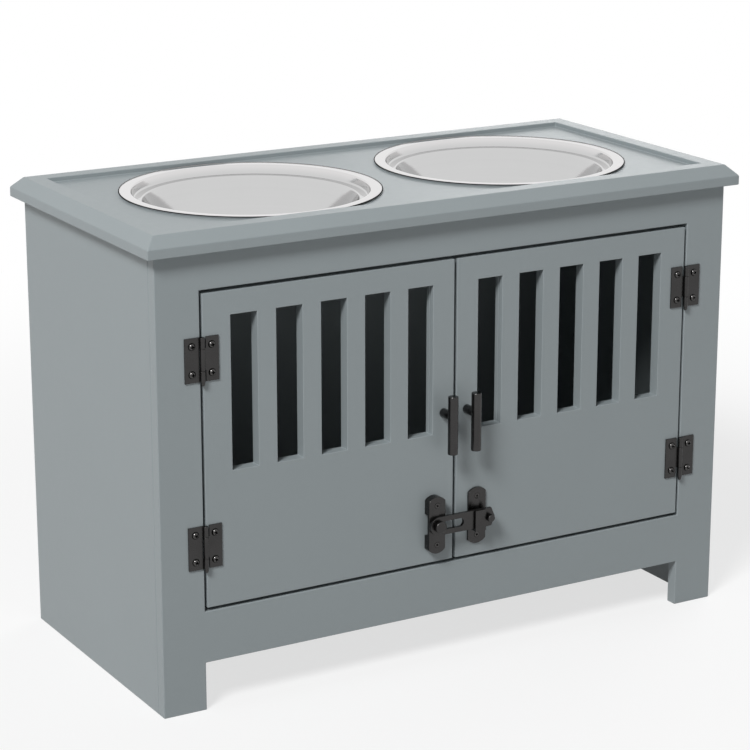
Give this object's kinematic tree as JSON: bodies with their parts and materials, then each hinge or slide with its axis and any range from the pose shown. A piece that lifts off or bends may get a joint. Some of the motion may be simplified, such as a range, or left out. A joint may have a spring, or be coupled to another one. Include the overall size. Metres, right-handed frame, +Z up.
{
  "type": "elevated dog feeder with storage",
  "caption": "Raised pet feeder cabinet: drop-in steel bowls in a bevelled tray top, over a storage space with slotted hinged doors, pulls and a flip-bar latch.",
  "frame": {"origin": "on the floor, in the middle of the whole outline, pulls and table overhang included", "axes": "+X along the width, towards the right-hand door; +Y from the doors to the back; +Z up"},
  "size_m": [0.62, 0.3118, 0.439],
  "materials": {
    "painted_wood": "satin blue-grey paint on board",
    "dark_metal": "dark gunmetal coating, satin",
    "stainless_steel": "polished stainless steel",
    "zinc_screws": "zinc plated",
    "bare_wood": "bare beech"
  },
  "bodies": {
    "cabinet": {"back_panel": "painted_wood", "door_stop": "painted_wood", "face_bottom_rail": "painted_wood", "face_stile_left": "painted_wood", "face_stile_right": "painted_wood", "face_top_rail": "painted_wood", "floor_cleat_left": "painted_wood", "floor_cleat_right": "painted_wood", "floor_panel": "painted_wood", "frame_dowels": "bare_wood", "hinge_frame_leaf_left_lower": "dark_metal", "hinge_frame_leaf_left_upper": "dark_metal", "hinge_frame_leaf_right_lower": "dark_metal", "hinge_frame_leaf_right_upper": "dark_metal", "hinge_pin_left_lower": "dark_metal", "hinge_pin_left_upper": "dark_metal", "hinge_pin_right_lower": "dark_metal", "hinge_pin_right_upper": "dark_metal", "hinge_screws_frame": "dark_metal", "rear_rail": "painted_wood", "side_panel_left": "painted_wood", "side_panel_right": "painted_wood", "table_top": "painted_wood", "top_cleat_left": "painted_wood", "top_cleat_right": "painted_wood", "top_screws": "zinc_screws"},
    "left_door": {"door_left": "painted_wood", "hinge_door_leaf_left_lower": "dark_metal", "hinge_door_leaf_left_upper": "dark_metal", "hinge_screws_door_left": "dark_metal", "pull_bar_left": "dark_metal", "pull_post_left": "dark_metal", "pull_screw_left": "dark_metal", "latch_base": "dark_metal", "latch_stud": "dark_metal", "latch_base_screws": "dark_metal"},
    "right_door": {"door_right": "painted_wood", "hinge_door_leaf_right_lower": "dark_metal", "hinge_door_leaf_right_upper": "dark_metal", "hinge_screws_door_right": "dark_metal", "pull_bar_right": "dark_metal", "pull_post_right": "dark_metal", "pull_screw_right": "dark_metal", "latch_keeper": "dark_metal", "latch_keeper_screws": "dark_metal"},
    "latch_bar": {"latch_bar": "dark_metal", "latch_knob": "dark_metal"},
    "left_bowl": {"bowl_left": "stainless_steel"},
    "right_bowl": {"bowl_right": "stainless_steel"}
  },
  "joints": [
    {"name": "left_door_hinge", "type": "hinge", "parent": "cabinet", "child": "left_door", "pos_m": [-0.257, -0.13673, 0.23975], "axis": [0, 0, -1], "range_deg": [0, 160]},
    {"name": "right_door_hinge", "type": "hinge", "parent": "cabinet", "child": "right_door", "pos_m": [0.257, -0.13673, 0.23975], "axis": [0, 0, 1], "range_deg": [0, 160]},
    {"name": "latch_bar_flip", "type": "hinge", "parent": "left_door", "child": "latch_bar", "pos_m": [-0.0233, -0.14452, 0.1353], "axis": [0, -1, 0], "range_deg": [0, 270]},
    {"name": "left_bowl_lift", "type": "slide", "parent": "cabinet", "child": "left_bowl", "axis": [0, 0, 1], "range_m": [0, 0.12]},
    {"name": "right_bowl_lift", "type": "slide", "parent": "cabinet", "child": "right_bowl", "axis": [0, 0, 1], "range_m": [0, 0.12]}
  ]
}
